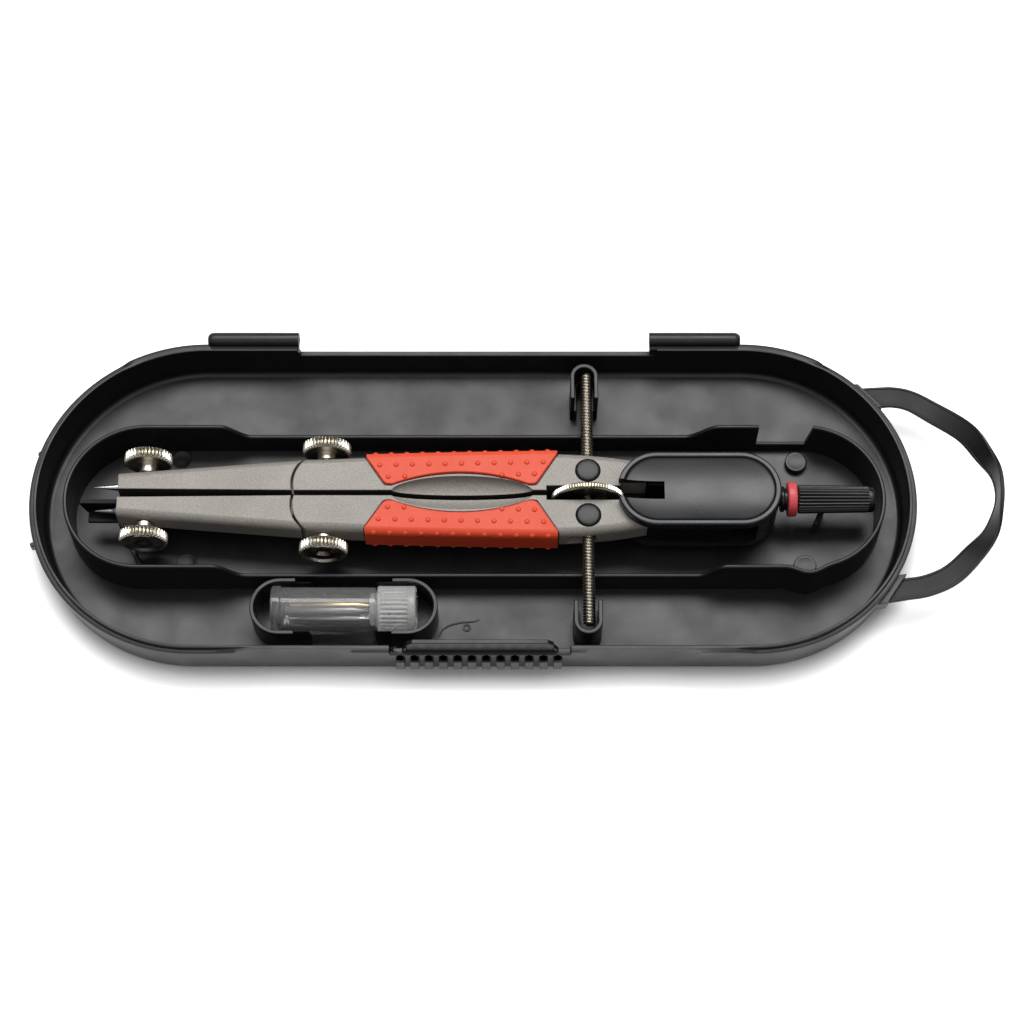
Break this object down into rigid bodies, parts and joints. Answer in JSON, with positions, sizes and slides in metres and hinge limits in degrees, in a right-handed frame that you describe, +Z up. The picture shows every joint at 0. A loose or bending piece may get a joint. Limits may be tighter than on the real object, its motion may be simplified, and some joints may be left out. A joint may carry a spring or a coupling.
{
  "type": "drafting compass set",
  "caption": "Quick-set bow compass with jointed legs, a centre-wheel spindle and grip pads, lying in the open moulded tray of its case with a spare-parts tube.",
  "frame": {"origin": "middle of the tray's flat underside", "axes": "+X along the tray, towards the carrying strap and the compass's handle; +Y towards the lid hinge side; +Z up"},
  "size_m": [0.2092, 0.0761, 0.019],
  "materials": {
    "case": "semi-matte moulded black plastic",
    "strap": "flexible black plastic",
    "head": "finely textured black plastic",
    "leg": "satin warm-grey metallic paint",
    "pad": "soft red-orange rubber",
    "ring": "dull red plastic",
    "nickel": "bright nickel plate",
    "steel": "polished steel",
    "graphite": "graphite lead with a slight sheen",
    "tube": "clear plastic",
    "cap": "frosted translucent plastic"
  },
  "bodies": {
    "case": {"case_tray": "case", "carry_strap": "strap"},
    "tube_body": {"spare_tube": "tube", "spare_lead_1": "graphite", "spare_lead_2": "graphite", "spare_needle": "steel"},
    "cap_body": {"tube_cap": "cap"},
    "head": {"head_shell_upper": "head", "head_shell_lower": "head", "pivot_pin_back": "steel", "pivot_pin_front": "steel", "handle_stem": "head", "colour_ring": "ring", "handle_grip": "head"},
    "leg_back": {"upper_leg_back": "leg", "hinge_root_back": "head", "grip_pad_back": "pad", "knee_pin_back": "steel"},
    "nut_body_back": {"trunnion_nut_back": "head"},
    "lower_back": {"lower_leg_back": "leg"},
    "knee_screw_body_back": {"knee_screw_back": "nickel"},
    "tip_screw_body_back": {"tip_screw_back": "nickel"},
    "leg_front": {"upper_leg_front": "leg", "hinge_root_front": "head", "grip_pad_front": "pad", "knee_pin_front": "steel"},
    "nut_body_front": {"trunnion_nut_front": "head"},
    "lower_front": {"lower_leg_front": "leg", "lead_guard": "head"},
    "knee_screw_body_front": {"knee_screw_front": "nickel"},
    "tip_screw_body_front": {"tip_screw_front": "nickel"},
    "needle_body": {"needle": "steel"},
    "lead_body": {"lead": "graphite"},
    "spindle_body": {"spindle": "nickel"},
    "wheel_body": {"centre_wheel": "nickel"}
  },
  "joints": [
    {"name": "tube_lift", "type": "slide", "parent": "case", "child": "tube_body", "axis": [0, 0, 1], "range_m": [0, 0.06]},
    {"name": "cap_pull", "type": "slide", "parent": "tube_body", "child": "cap_body", "axis": [1, 0, 0], "range_m": [0, 0.01]},
    {"name": "compass_lift", "type": "slide", "parent": "case", "child": "head", "axis": [0, 0, 1], "range_m": [0, 0.15]},
    {"name": "leg_swing_back", "type": "hinge", "parent": "head", "child": "leg_back", "pos_m": [0.0525, 0.0016, 0.0112], "axis": [0, 0, -1], "range_deg": [0, 30]},
    {"name": "knee_bend_back", "type": "hinge", "parent": "leg_back", "child": "lower_back", "pos_m": [-0.0313, 0.0013, 0.0112], "axis": [0, 0, 1], "range_deg": [0, 30]},
    {"name": "nut_turn_back", "type": "hinge", "parent": "leg_back", "child": "nut_body_back", "pos_m": [0.0245, 0.0041, 0.0112], "axis": [0, 0, 1], "range_deg": [0, 30]},
    {"name": "knee_screw_turn_back", "type": "hinge", "parent": "leg_back", "child": "knee_screw_body_back", "pos_m": [-0.0316, 0.0099, 0.0112], "axis": [0, 1, 0], "continuous": true},
    {"name": "tip_screw_turn_back", "type": "hinge", "parent": "lower_back", "child": "tip_screw_body_back", "pos_m": [-0.0699, 0.0079, 0.0112], "axis": [0, 1, 0], "continuous": true},
    {"name": "leg_swing_front", "type": "hinge", "parent": "head", "child": "leg_front", "pos_m": [0.0525, -0.0038, 0.0112], "axis": [0, 0, 1], "range_deg": [0, 30]},
    {"name": "knee_bend_front", "type": "hinge", "parent": "leg_front", "child": "lower_front", "pos_m": [-0.0313, -0.0035, 0.0112], "axis": [0, 0, -1], "range_deg": [0, 30]},
    {"name": "nut_turn_front", "type": "hinge", "parent": "leg_front", "child": "nut_body_front", "pos_m": [0.0245, -0.0063, 0.0112], "axis": [0, 0, -1], "range_deg": [0, 30]},
    {"name": "knee_screw_turn_front", "type": "hinge", "parent": "leg_front", "child": "knee_screw_body_front", "pos_m": [-0.0316, -0.0121, 0.0112], "axis": [0, -1, 0], "continuous": true},
    {"name": "tip_screw_turn_front", "type": "hinge", "parent": "lower_front", "child": "tip_screw_body_front", "pos_m": [-0.0699, -0.0101, 0.0112], "axis": [0, -1, 0], "continuous": true},
    {"name": "needle_adjust", "type": "slide", "parent": "lower_back", "child": "needle_body", "axis": [-1, 0, 0], "range_m": [-0.004, 0.005]},
    {"name": "lead_adjust", "type": "slide", "parent": "lower_front", "child": "lead_body", "axis": [-1, 0, 0], "range_m": [-0.004, 0.002]},
    {"name": "spindle_travel", "type": "slide", "parent": "nut_body_back", "child": "spindle_body", "axis": [0, -1, 0], "range_m": [0, 0.0142]},
    {"name": "wheel_turn", "type": "hinge", "parent": "spindle_body", "child": "wheel_body", "pos_m": [0.0245, -0.001, 0.0112], "axis": [0, 1, 0], "continuous": true}
  ],
  "couplings": [
    {"joint": "cap_pull", "follows": "tube_lift", "ratio": 0.1666},
    {"joint": "leg_swing_back", "follows": "compass_lift", "rad_per_m": 3.4902},
    {"joint": "knee_bend_back", "follows": "compass_lift", "rad_per_m": 3.4902},
    {"joint": "nut_turn_back", "follows": "compass_lift", "rad_per_m": 3.4902},
    {"joint": "leg_swing_front", "follows": "compass_lift", "rad_per_m": 3.4902},
    {"joint": "knee_bend_front", "follows": "compass_lift", "rad_per_m": 3.4902},
    {"joint": "nut_turn_front", "follows": "compass_lift", "rad_per_m": 3.4902},
    {"joint": "spindle_travel", "follows": "compass_lift", "ratio": 0.0946}
  ]
}
